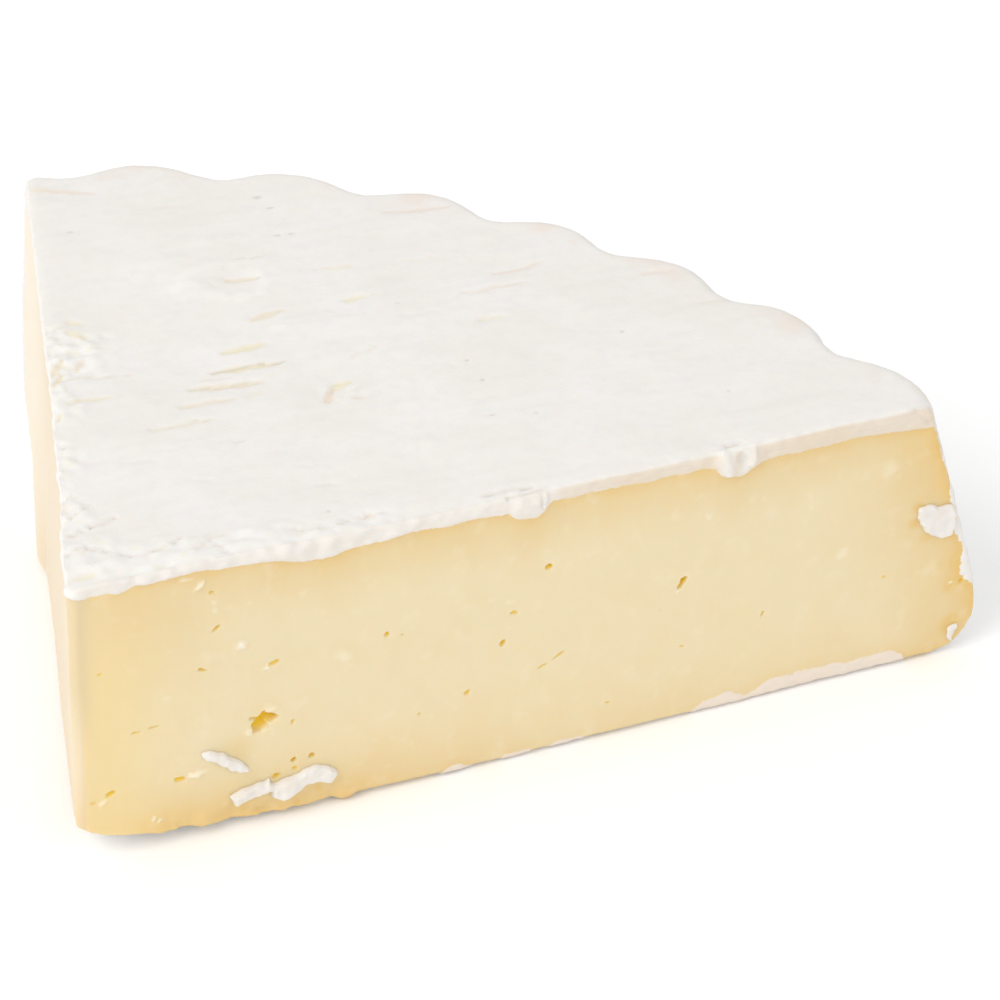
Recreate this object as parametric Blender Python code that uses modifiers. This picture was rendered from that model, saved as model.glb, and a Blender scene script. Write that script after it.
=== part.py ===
"""A wedge of soft white-rind cheese, cut from a low wheel with a scalloped rim.

Metres, +Z up. The wedge rests on its base with its longer cut facing -Y, and the origin is
the middle of the base. The functions measure from the foot of the tip, with +X along the
longer cut, and the finished wedge is then moved to the origin.
"""

import math

import bmesh
import bpy
from mathutils import Matrix, Vector, noise

# The wheel that the wedge comes from
WHEEL_RADIUS = 0.1276  # to the crest of a scallop, at the top edge
HEIGHT = 0.0402
LOBES = 40  # scallops round the whole wheel
SCALLOP_DEPTH = 0.0030
SCALLOP_POWER = 1.3  # above 1, the valleys are narrower than the crests
SCALLOP_REACH = 0.014  # how far the scallops run in over the top and the base
SCALLOP_FADE = 0.2  # share of the depth that is lost down to the foot
FIRST_CREST = math.radians(12.5)
UNEVEN_LOBES = 0.57  # how far the uneven spacing shifts a crest, in radians of one lobe
UNEVEN_WAVES = 5
UNEVEN_TURN = 3.33
SHOULDER_RADIUS = 0.0028
BELLY_OVERHANG = 0.0094  # how far the rim leans out between its top edge and its foot
BELLY_POWER = 1.15
FOOT_RADIUS = 0.0062

# The cut
WHEEL_CENTRE = Vector((-0.0078, -0.0211, 0.0))  # seen from the tip, as the cut is off centre
WEDGE_ANGLE = math.radians(75.0)
TIP_RADIUS = 0.0011
KNIFE_REACH = 0.136  # past the foot of the rim on both cuts
KNIFE_CLEAR = 0.2  # where the knife's outline closes, well outside the wheel
KNIFE_MARGIN = 0.004  # how far the knife passes above and below the wheel

# How finely the surfaces are divided
STEPS_PER_LOBE = 6
TOP_RING = 0.004
BASE_RING = 0.009
SMALLEST_RING = 0.018
SHOULDER_STEPS = 3
LEAN_STEPS = 7
FOOT_STEPS = 4
TIP_STEPS = 3
CUT_GRID = 0.0045

# Relief of the surfaces
TIP_RISE = 0.0011  # how much higher the top is at the tip than at the rim
TIP_LIFT = ((0.0034, 0.0035), (0.0025, 0.017))  # rise of the base at the tip, fading over
TIP_LIFT_END = (0.025, 0.055)  # the lift dies out between these distances from the tip
EDGE_LIFT = 0.0005  # how far the base's edges curl up off the flat
EDGE_WIDTH = 0.004
EDGE_WANDER = (0.5, 0.020)  # how unevenly the base's edges curl, and over what length
TOP_SWELL = (0.00045, 0.030)  # height and width of the top's slow waves
TOP_LUMPS = (0.00018, 0.007)
KNIFE_WAVES = (0.00025, 0.022)
KNIFE_SQUEEZE = 2.0  # how much closer those waves lie upwards than along the cut
RIM_LUMPS = (0.00035, 0.012)
RIM_LUMPS_FROM = 0.3  # share of the height below which they fade out
CORNER_SLUMP = (0.0030, 0.005)  # how far the rim draws in at the shorter cut, and its fade
LEDGE_HEIGHT = 0.0011  # a low ledge that the knife left on the shorter cut
LEDGE_ALONG = (0.0610, 0.0635, 0.0900)  # where it starts, is highest and has faded out
LEDGE_UP = 0.020
SET_BACK = 0.0008  # how far the shorter cut's top edge is set back
SET_BACK_FROM = (0.004, 0.022)  # where along the cut that sets in
FLARE = 0.0004  # how far the shorter cut's foot stands proud near the rim
FLARE_FROM = (0.066, 0.090)
RIM_BOW = 0.0006  # how far the rim bulges beside the longer cut
RIM_BOW_FADE = 0.012
RIM_BOW_FROM = (0.003, 0.012)  # the heights over which the bulge sets in
MARK_PLACE = Vector((0.0434, 0.0608, 0.0))  # an oval mark in the top rind
MARK_RADII = (0.0060, 0.0046)
MARK_DEPTH = 0.0002
MARK_RING = (0.6, 0.35)  # the ring's height, as a share of the depth, and its width in radii
MARK_DISH = 0.6  # the dish's width in radii

# Eyes in the longer cut: along it, up, width, height, tilt in degrees and depth
EYES = (
    (0.0242, 0.0158, 0.0022, 0.0023, 40, 0.0016),
    (0.0811, 0.0216, 0.0012, 0.0015, -30, 0.0012),
    (0.0563, 0.0186, 0.0009, 0.0011, 0, 0.0008),
    (0.0622, 0.0289, 0.0009, 0.0009, 0, 0.0008),
    (0.0406, 0.0244, 0.0009, 0.0008, 0, 0.0007),
    (0.0256, 0.0239, 0.0019, 0.0009, 15, 0.0006),
    (0.0632, 0.0144, 0.0040, 0.0006, 27, 0.0006),
    (0.0140, 0.0095, 0.0022, 0.0008, -8, 0.0007),
    (0.0043, 0.0100, 0.0015, 0.0009, 20, 0.0006),
    (0.0713, 0.0054, 0.0009, 0.0011, 0, 0.0006),
)

# Scraps and lumps of rind on the longer cut: along it, up, length, width, thickness, tilt
RIND_SCRAPS = (
    (0.0192, 0.0105, 0.0066, 0.0022, 0.0018, -27),
    (0.0232, 0.0046, 0.0062, 0.0024, 0.0022, 20),
    (0.0276, 0.0046, 0.0054, 0.0026, 0.0024, 35),
    (0.0315, 0.0050, 0.0056, 0.0025, 0.0022, 5),
    (0.0590, 0.0392, 0.0062, 0.0046, 0.0022, 8),
    (0.0874, 0.0390, 0.0054, 0.0052, 0.0024, 0),
    (0.1166, 0.0220, 0.0066, 0.0058, 0.0022, 20),
    (0.1214, 0.0035, 0.0030, 0.0034, 0.0016, 0),
)
SCRAP_ROUGHNESS = 0.22  # share of a scrap's size by which its outline wanders
SCRAP_GRAIN = 1.6
SCRAP_SINK = 0.22  # share of a scrap's thickness by which its middle lies inside the cut

MERGE_GAP = 0.00001
SLIVER = 0.00002  # edges shorter than this are closed up
SHARP_ANGLE = math.radians(40.0)

RIND_COLOUR = (0.89, 0.87, 0.82, 1.0)
RIND_ROUGHNESS = 0.75


def smooth_step(value, low, high):
    """0 below low, 1 above high, and a smooth rise between them."""
    t = min(max((value - low) / (high - low), 0.0), 1.0)
    return t * t * (3.0 - 2.0 * t)


def waves(point, relief):
    """Smooth uneven waves, for a relief given as (height, width)."""
    height, width = relief
    return height * noise.noise(point / width)


def rim_section():
    """(outward, up) down the rim's section: shoulder, leaning side and round foot."""
    section = []
    for i in range(SHOULDER_STEPS + 1):
        turn = math.pi / 2 * i / SHOULDER_STEPS
        inward = SHOULDER_RADIUS * (1.0 - math.sin(turn))
        section.append((-inward, HEIGHT - SHOULDER_RADIUS * (1.0 - math.cos(turn))))
    side_top = HEIGHT - SHOULDER_RADIUS
    for i in range(1, LEAN_STEPS):
        down = i / LEAN_STEPS
        outward = BELLY_OVERHANG * (1.0 - (1.0 - down) ** BELLY_POWER)
        section.append((outward, side_top + (FOOT_RADIUS - side_top) * down))
    for i in range(FOOT_STEPS + 1):
        turn = math.pi / 2 * i / FOOT_STEPS
        outward = BELLY_OVERHANG - FOOT_RADIUS * (1.0 - math.cos(turn))
        section.append((outward, FOOT_RADIUS * (1.0 - math.sin(turn))))
    return section


def ring_radii(outer, spacing):
    """Radii of even rings from just inside outer down to the smallest ring."""
    count = round((outer - SMALLEST_RING) / spacing)
    return [outer + (SMALLEST_RING - outer) * i / count for i in range(1, count + 1)]


def wheel_profile():
    """(radius, up) from the middle of the top, down the rim, to the middle of the base."""
    section = [(WHEEL_RADIUS + outward, up) for outward, up in rim_section()]
    top_rings = [(radius, HEIGHT) for radius in ring_radii(section[0][0], TOP_RING)]
    base_rings = [(radius, 0.0) for radius in ring_radii(section[-1][0], BASE_RING)]
    return [(0.0, HEIGHT), *reversed(top_rings), *section, *base_rings, (0.0, 0.0)]


def valley(angle):
    """0 on the crest of a scallop and 1 in the valley between two."""
    uneven = UNEVEN_LOBES * math.sin(UNEVEN_WAVES * angle + UNEVEN_TURN)
    phase = LOBES * (angle - FIRST_CREST) + uneven
    return (0.5 - 0.5 * math.cos(phase)) ** SCALLOP_POWER


def scallop(point):
    """Draws a point of the plain wheel, measured from its axis, in towards the valleys."""
    radius = math.hypot(point.x, point.y)
    if radius < SMALLEST_RING:
        return
    reach = smooth_step(radius, WHEEL_RADIUS - SCALLOP_REACH, WHEEL_RADIUS)
    depth = SCALLOP_DEPTH * (1.0 - SCALLOP_FADE * (1.0 - point.z / HEIGHT)) * reach
    scale = 1.0 - depth * valley(math.atan2(point.y, point.x)) / radius
    point.x *= scale
    point.y *= scale


def new_object(name, mesh, collection):
    obj = bpy.data.objects.new(name, mesh)
    collection.objects.link(obj)
    return obj


def apply_modifiers(obj):
    """Makes the shape that the modifiers give the object's own mesh."""
    evaluated = obj.evaluated_get(bpy.context.evaluated_depsgraph_get())
    mesh = bpy.data.meshes.new_from_object(evaluated)
    obj.modifiers.clear()
    obj.data = mesh


def remove_objects(collection):
    for obj in list(collection.objects):
        bpy.data.objects.remove(obj)


def make_wheel(name, collection):
    """The whole wheel: a turned section, drawn in between the scallops."""
    profile = wheel_profile()
    mesh = bpy.data.meshes.new(name)
    edges = [(i, i + 1) for i in range(len(profile) - 1)]
    mesh.from_pydata([(radius, 0.0, up) for radius, up in profile], edges, [])
    wheel = new_object(name, mesh, collection)
    turn = wheel.modifiers.new("turn", "SCREW")
    turn.axis = "Z"
    turn.steps = LOBES * STEPS_PER_LOBE
    turn.render_steps = turn.steps
    turn.use_merge_vertices = True
    turn.merge_threshold = MERGE_GAP
    apply_modifiers(wheel)
    for vertex in wheel.data.vertices:
        scallop(vertex.co)
        vertex.co += WHEEL_CENTRE
    return wheel


def knife_outline():
    """The plan of what the knife leaves: in along the longer cut, round the tip and out."""
    longer = Vector((1.0, 0.0, 0.0))
    shorter = Vector((math.cos(WEDGE_ANGLE), math.sin(WEDGE_ANGLE), 0.0))
    tip_start = TIP_RADIUS / math.tan(WEDGE_ANGLE / 2)
    count = round((KNIFE_REACH - tip_start) / CUT_GRID)
    steps = [tip_start + (KNIFE_REACH - tip_start) * i / count for i in range(count + 1)]
    centre = (longer + shorter).normalized() * (TIP_RADIUS / math.sin(WEDGE_ANGLE / 2))
    outline = [longer * KNIFE_CLEAR]
    outline += [longer * step for step in reversed(steps)]
    for i in range(1, TIP_STEPS):
        turn = -math.pi / 2 - (math.pi - WEDGE_ANGLE) * i / TIP_STEPS
        outline.append(centre + TIP_RADIUS * Vector((math.cos(turn), math.sin(turn), 0.0)))
    outline += [shorter * step for step in steps]
    outline.append(shorter * KNIFE_CLEAR)
    return outline


def make_knife(name, collection):
    """A prism over the wedge's plan, with its walls divided into a grid for their relief."""
    outline = knife_outline()
    low = -KNIFE_MARGIN
    count = round((HEIGHT + 2 * KNIFE_MARGIN) / CUT_GRID)
    step = (HEIGHT + 2 * KNIFE_MARGIN) / count
    bm = bmesh.new()
    rings = []
    for level in range(count + 1):
        up = Vector((0.0, 0.0, low + step * level))
        rings.append([bm.verts.new(point + up) for point in outline])
    bm.faces.new(rings[0])
    bm.faces.new(rings[-1])
    for below, above in zip(rings, rings[1:]):
        for i, point in enumerate(below):
            bm.faces.new((point, below[i - 1], above[i - 1], above[i]))
    bmesh.ops.recalc_face_normals(bm, faces=bm.faces)
    mesh = bpy.data.meshes.new(name)
    bm.to_mesh(mesh)
    bm.free()
    return new_object(name, mesh, collection)


def mark(point):
    """The oval mark: a shallow dish inside a low ring."""
    away = point - MARK_PLACE
    spread = math.hypot(away.x / MARK_RADII[0], away.y / MARK_RADII[1])
    height, width = MARK_RING
    ring = height * math.exp(-(((spread - 1.0) / width) ** 2))
    return MARK_DEPTH * (ring - math.exp(-((spread / MARK_DISH) ** 2)))


def top_relief(plan):
    """How far the top stands above its even height, over a point of the plan."""
    rise = TIP_RISE * (1.0 - min(plan.length / WHEEL_RADIUS, 1.0))
    return rise + waves(plan, TOP_SWELL) + waves(plan, TOP_LUMPS) + mark(plan)


def base_lift(plan, to_longer, to_shorter):
    """How far the base rises off the flat, at the tip and along the two cuts."""
    lift = sum(height * math.exp(-plan.length / fade) for height, fade in TIP_LIFT)
    lift *= 1.0 - smooth_step(plan.length, *TIP_LIFT_END)
    edge = max(0.0, 1.0 - min(to_longer, to_shorter) / EDGE_WIDTH)
    wander = max(0.0, 0.5 + waves(plan, EDGE_WANDER))
    return lift + EDGE_LIFT * edge * wander


def ledge(along, up):
    """How far the shorter cut stands proud at a distance along it and a height."""
    start, crest, end = LEDGE_ALONG
    shape = smooth_step(along, start, crest) * (1.0 - smooth_step(along, crest, end))
    return LEDGE_HEIGHT * shape * (1.0 - smooth_step(up, 0.0, LEDGE_UP))


def lean(along, up):
    """How far the shorter cut stands proud where the knife leaned over."""
    back = SET_BACK * up * smooth_step(along, *SET_BACK_FROM)
    return FLARE * (1.0 - up) * smooth_step(along, *FLARE_FROM) - back


def add_relief(point):
    """Moves a point of the sharply cut wedge to its place on the soft, uneven one."""
    plan = Vector((point.x, point.y, 0.0))
    shorter = Vector((math.cos(WEDGE_ANGLE), math.sin(WEDGE_ANGLE), 0.0))
    shorter_side = Vector((-shorter.y, shorter.x, 0.0))
    to_longer = plan.y
    to_shorter = -plan.dot(shorter_side)
    up = point.z / HEIGHT
    point.z += up * top_relief(plan) + (1.0 - up) * base_lift(plan, to_longer, to_shorter)
    knife = waves(Vector((point.x, point.y, KNIFE_SQUEEZE * point.z)), KNIFE_WAVES)
    at_longer = max(0.0, 1.0 - to_longer / TIP_RADIUS)
    at_shorter = max(0.0, 1.0 - to_shorter / TIP_RADIUS)
    point.y -= knife * at_longer * (1.0 - at_shorter)
    proud = knife + ledge(plan.dot(shorter), point.z)
    point += shorter_side * (proud * at_shorter * (1.0 - at_longer))
    near_shorter = max(0.0, 1.0 - to_shorter / EDGE_WIDTH)
    point += shorter_side * (lean(plan.dot(shorter), up) * near_shorter)
    outward = plan - WHEEL_CENTRE
    at_rim = smooth_step(outward.length, WHEEL_RADIUS - SCALLOP_REACH, WHEEL_RADIUS)
    clear = smooth_step(to_longer, 0.0, EDGE_WIDTH) * smooth_step(up, 0.0, RIM_LUMPS_FROM)
    slump, fade = CORNER_SLUMP
    swell = waves(point, RIM_LUMPS) * clear - slump * math.exp(-max(to_shorter, 0.0) / fade)
    beside_longer = math.exp(-((to_longer / RIM_BOW_FADE) ** 2))
    swell += RIM_BOW * beside_longer * smooth_step(point.z, *RIM_BOW_FROM)
    point += outward.normalized() * (swell * at_rim)


def blob(name, size, place, tilt, detail, collection):
    """A faceted ellipsoid of the given size (x, y, z), tilted about Y."""
    bm = bmesh.new()
    bmesh.ops.create_icosphere(bm, subdivisions=detail, radius=0.5)
    turned = Matrix.Rotation(-math.radians(tilt), 4, "Y") @ Matrix.Diagonal((*size, 1.0))
    bm.transform(Matrix.Translation(place) @ turned)
    mesh = bpy.data.meshes.new(name)
    bm.to_mesh(mesh)
    bm.free()
    return new_object(name, mesh, collection)


def make_eyes(collection):
    """The hollows left by gas, as bodies to be cut out of the longer cut."""
    for i, (along, up, width, height, tilt, depth) in enumerate(EYES):
        size = (width, 2 * depth, height)
        eye = blob(f"eye_{i}", size, Vector((along, 0.0, up)), tilt, 2, collection)
        eye.hide_render = True
        eye.display_type = "WIRE"


def make_scraps(collection):
    """Torn scraps of rind that the knife dragged onto the longer cut."""
    for i, (along, up, length, width, thickness, tilt) in enumerate(RIND_SCRAPS):
        place = Vector((along, SCRAP_SINK * thickness, up))
        size = (length, thickness, width)
        scrap = blob(f"scrap_{i}", size, place, tilt, 2, collection)
        for vertex in scrap.data.vertices:
            away = vertex.co - place
            swell = noise.noise(vertex.co * (SCRAP_GRAIN / thickness))
            vertex.co = place + away * (1.0 + SCRAP_ROUGHNESS * swell)


def boolean(obj, operation, operand):
    """Cuts, keeps or joins with one object, or with all the objects of a collection."""
    modifier = obj.modifiers.new(operation.lower(), "BOOLEAN")
    modifier.operation = operation
    modifier.solver = "EXACT"
    if isinstance(operand, bpy.types.Collection):
        modifier.operand_type = "COLLECTION"
        modifier.collection = operand
    else:
        modifier.object = operand
    apply_modifiers(obj)


def triangulate(mesh):
    bm = bmesh.new()
    bm.from_mesh(mesh)
    bmesh.ops.triangulate(bm, faces=bm.faces)
    bmesh.ops.dissolve_degenerate(bm, dist=SLIVER, edges=bm.edges)
    bmesh.ops.triangulate(bm, faces=bm.faces)
    bm.to_mesh(mesh)
    bm.free()


def rind_material():
    """Chalky white rind, off-white and matte."""
    material = bpy.data.materials.new("white_rind")
    material.use_nodes = True
    shader = material.node_tree.nodes["Principled BSDF"]
    shader.inputs["Base Color"].default_value = RIND_COLOUR
    shader.inputs["Roughness"].default_value = RIND_ROUGHNESS
    shader.inputs["Metallic"].default_value = 0.0
    material.diffuse_color = RIND_COLOUR
    return material


def stand_on_origin(obj):
    """Moves the object so that the middle of its base is at the origin."""
    corners = [Vector(corner) for corner in obj.bound_box]
    low = Vector([min(corner[axis] for corner in corners) for axis in range(3)])
    high = Vector([max(corner[axis] for corner in corners) for axis in range(3)])
    obj.location = (-(low.x + high.x) / 2, -(low.y + high.y) / 2, -low.z)


def make_wedge(collection, cutters):
    """The wedge: cut from the wheel, made soft and uneven, with its eyes and scraps."""
    wedge = make_wheel("brie_wedge", collection)
    knife = make_knife("knife", cutters)
    boolean(wedge, "INTERSECT", knife)
    bpy.data.objects.remove(knife)
    triangulate(wedge.data)
    for vertex in wedge.data.vertices:
        add_relief(vertex.co)
    make_eyes(cutters)
    boolean(wedge, "DIFFERENCE", cutters)
    remove_objects(cutters)
    make_scraps(cutters)
    boolean(wedge, "UNION", cutters)
    remove_objects(cutters)
    triangulate(wedge.data)
    wedge.data.shade_smooth()
    wedge.data.set_sharp_from_angle(angle=SHARP_ANGLE)
    wedge.data.materials.clear()
    wedge.data.materials.append(rind_material())
    stand_on_origin(wedge)


def main():
    for obj in list(bpy.data.objects):
        bpy.data.objects.remove(obj)
    part = bpy.data.collections.new("brie_wedge")
    bpy.context.scene.collection.children.link(part)
    cutters = bpy.data.collections.new("cutters")
    bpy.context.scene.collection.children.link(cutters)
    make_wedge(part, cutters)


main()
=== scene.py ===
"""Looks of a wedge cut from a scalloped wheel of soft white-rind cheese.

Metres, +Z up, in the part's own frame: the wedge stands on its base round the origin, with
its longer cut facing -Y. The shape functions measure from the foot of the tip, with +X
along the longer cut, and each finished piece is then moved by TIP_PLACE.
"""

import math

import bmesh
import bpy
import numpy as np
from mathutils import Matrix, Vector, noise
from mathutils.geometry import delaunay_2d_cdt


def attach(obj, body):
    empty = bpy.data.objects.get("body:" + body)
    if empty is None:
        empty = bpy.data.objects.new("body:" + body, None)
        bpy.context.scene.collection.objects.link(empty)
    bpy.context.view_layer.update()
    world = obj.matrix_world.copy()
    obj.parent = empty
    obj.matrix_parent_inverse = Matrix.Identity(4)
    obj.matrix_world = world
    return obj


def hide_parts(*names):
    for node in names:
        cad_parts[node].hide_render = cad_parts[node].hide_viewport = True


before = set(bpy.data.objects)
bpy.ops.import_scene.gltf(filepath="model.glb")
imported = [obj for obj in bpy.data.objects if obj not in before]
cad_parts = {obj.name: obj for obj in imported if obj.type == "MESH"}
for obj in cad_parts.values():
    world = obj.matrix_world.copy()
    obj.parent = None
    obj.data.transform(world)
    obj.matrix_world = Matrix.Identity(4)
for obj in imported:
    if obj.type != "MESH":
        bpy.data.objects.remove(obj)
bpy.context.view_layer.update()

MM = 0.001
NODE = "brie_wedge"
TIP_PLACE = np.array([-0.06318635, -0.05325281, 0.0])  # the foot of the tip in the part's frame

# The wheel that the wedge comes from, as in the part's source
WHEEL_RADIUS = 0.1276
HEIGHT = 0.0402
LOBES = 40
SCALLOP_DEPTH = 0.0030
SCALLOP_POWER = 1.3
SCALLOP_REACH = 0.014
SCALLOP_FADE = 0.2
FIRST_CREST = math.radians(12.5)
UNEVEN_LOBES = 0.57
UNEVEN_WAVES = 5
UNEVEN_TURN = 3.33
SHOULDER_RADIUS = 0.0028
BELLY_OVERHANG = 0.0094
BELLY_POWER = 1.15
FOOT_RADIUS = 0.0062
WHEEL_CENTRE = np.array([-0.0078, -0.0211])
WEDGE_ANGLE = math.radians(75.0)
TIP_RADIUS = 0.0011
TIP_RISE = 0.0011
TIP_LIFT = ((0.0034, 0.0035), (0.0025, 0.017))
TIP_LIFT_END = (0.025, 0.055)
EDGE_LIFT = 0.0005
EDGE_WIDTH = 0.004
EDGE_WANDER = (0.5, 0.020)
TOP_SWELL = (0.00045, 0.030)
TOP_LUMPS = (0.00018, 0.007)
KNIFE_WAVES = (0.00025, 0.022)
KNIFE_SQUEEZE = 2.0
RIM_LUMPS = (0.00035, 0.012)
RIM_LUMPS_FROM = 0.3
CORNER_SLUMP = (0.0030, 0.005)
LEDGE_HEIGHT = 0.0011
LEDGE_ALONG = (0.0610, 0.0635, 0.0900)
LEDGE_UP = 0.020
SET_BACK = 0.0008
SET_BACK_FROM = (0.004, 0.022)
FLARE = 0.0004
FLARE_FROM = (0.066, 0.090)
RIM_BOW = 0.0006
RIM_BOW_FADE = 0.012
RIM_BOW_FROM = (0.003, 0.012)
MARK_PLACE = np.array([0.0434, 0.0608])
MARK_RADII = (0.0060, 0.0046)
MARK_DEPTH = 0.0002
MARK_RING = (0.6, 0.35)
MARK_DISH = 0.6

# How finely the surfaces are divided
EDGE_STEP = 0.30 * MM
RIM_COLUMNS = 230
RIM_ROWS = 64
TIP_STEPS = 7
FRONT_STEP = 0.16 * MM
TOP_STEP = 0.29 * MM
SIDE_STEP = 0.36 * MM
BASE_STEP = 1.4 * MM
WELD = 0.001 * MM
SCRAP_STEP = 0.16 * MM

LONGER = np.array([1.0, 0.0])
SHORTER = np.array([math.cos(WEDGE_ANGLE), math.sin(WEDGE_ANGLE)])
SHORTER_SIDE = np.array([-SHORTER[1], SHORTER[0]])
TIP_START = TIP_RADIUS / math.tan(WEDGE_ANGLE / 2)
LUMP_TURN = np.array(Matrix.Rotation(math.radians(25.0), 3, "Z"))

# Eyes and slits in the longer cut, in mm: along it, up, length, width, tilt and depth
EYES = (
    (24.6, 15.9, 3.4, 2.0, -8, 1.5),
    (23.8, 15.0, 2.4, 2.7, -20, 1.4),
    (81.0, 21.5, 2.0, 1.0, 62, 0.9),
    (62.2, 28.9, 1.0, 1.1, 0, 0.6),
    (56.3, 18.6, 1.2, 0.8, 70, 0.6),
    (40.6, 24.3, 0.8, 0.8, 0, 0.4),
    (42.6, 23.8, 0.4, 0.3, 0, 0.2),
    (51.6, 12.2, 0.9, 0.9, 0, 0.3),
    (45.1, 10.9, 0.4, 0.4, 0, 0.2),
    (28.4, 8.3, 0.9, 0.8, 30, 0.7),
    (30.8, 8.4, 0.8, 0.8, 0, 0.7),
    (26.0, 6.5, 0.9, 1.0, 0, 0.5),
    (28.2, 14.4, 0.9, 0.5, 80, 0.3),
    (92.9, 13.7, 1.0, 0.5, 70, 0.3),
    (81.5, 11.6, 0.8, 0.4, -20, 0.2),
    (78.0, 18.2, 0.4, 0.3, 0, 0.15),
    (71.3, 5.4, 0.7, 0.35, -30, 0.2),
    (57.6, 23.0, 1.5, 0.7, -10, 0.3),
    (61.9, 13.7, 1.5, 0.45, 25, 0.25),
    (63.9, 14.7, 2.4, 0.4, 28, 0.25),
    (18.4, 31.1, 1.3, 0.6, 35, 0.35),
    (16.5, 25.5, 1.3, 0.6, -25, 0.4),
    (110.3, 14.8, 0.7, 0.5, 0, 0.15),
    (121.7, 11.3, 0.8, 0.8, 0, 0.35),
    (25.9, 24.0, 1.7, 0.8, 25, 0.35),
    (8.0, 18.4, 1.4, 0.3, 5, 0.2),
    (10.1, 18.6, 1.3, 0.3, 5, 0.2),
    (13.6, 9.6, 2.0, 0.8, 0, 0.4),
    (4.4, 9.9, 1.6, 1.0, 25, 0.35),
    (2.2, 9.2, 1.0, 0.5, 0, 0.2),
    (3.6, 28.3, 0.8, 0.6, 30, 0.12),
    (28.6, 7.0, 0.9, 0.7, 20, 0.25),
    (17.9, 36.5, 0.9, 0.6, -20, 0.30),
)

# Pale flecks on the cut paste, in mm: along it, up, length, width, tilt, height and paleness
FLECKS = (
    (21.4, 28.1, 1.1, 1.0, 0, 0.30, 0.9),
    (16.4, 38.0, 2.3, 0.8, 42, 0.35, 0.65),
    (14.6, 39.2, 2.4, 0.7, -4, 0.10, 0.4),
    (18.2, 34.4, 3.4, 0.4, -75, 0.04, 0.5),
    (9.9, 4.5, 1.2, 0.4, 70, 0.10, 0.8),
    (10.8, 4.3, 1.5, 0.4, 40, 0.10, 0.8),
    (84.7, 30.5, 12.5, 0.5, 92, 0.03, 0.12),
    (25.0, 23.7, 1.8, 0.8, 20, 0.15, 0.6),
    (15.6, 10.0, 2.6, 1.0, 15, 0.30, 0.6),
    (15.9, 25.8, 0.9, 0.5, 0, 0.10, 0.5),
    (3.6, 9.0, 1.2, 0.8, 40, 0.15, 0.5),
    (25.2, 17.2, 3.0, 1.0, 10, 0.05, 0.3),
    (22.5, 14.6, 1.4, 1.4, 0, 0.10, 0.35),
    (80.4, 20.6, 1.3, 0.6, 60, 0.10, 0.5),
    (35.0, 22.6, 3.2, 1.4, -20, 0.04, 0.35),
    (29.4, 33.3, 1.2, 0.9, 0, 0.04, 0.35),
    (22.8, 34.0, 0.9, 0.7, 0, 0.04, 0.35),
    (57.2, 25.0, 2.2, 0.7, 5, 0.04, 0.35),
    (54.6, 26.0, 1.4, 0.9, 5, 0.04, 0.3),
    (98.8, 29.5, 6.0, 0.8, 92, 0.03, 0.16),
    (103.9, 20.2, 1.8, 2.4, 0, 0.05, 0.35),
    (84.0, 31.0, 0.9, 0.9, 0, 0.03, 0.4),
    (109.6, 32.0, 3.0, 3.6, 0, 0.03, 0.3),
    (120.2, 11.5, 0.7, 0.5, 30, 0.15, 0.9),
    (61.0, 9.4, 0.7, 0.5, 0, 0.05, 0.5),
    (14.8, 21.6, 1.0, 0.5, 0, 0.04, 0.4),
    (11.8, 22.4, 1.8, 0.8, 15, 0.03, 0.3),
)

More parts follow.
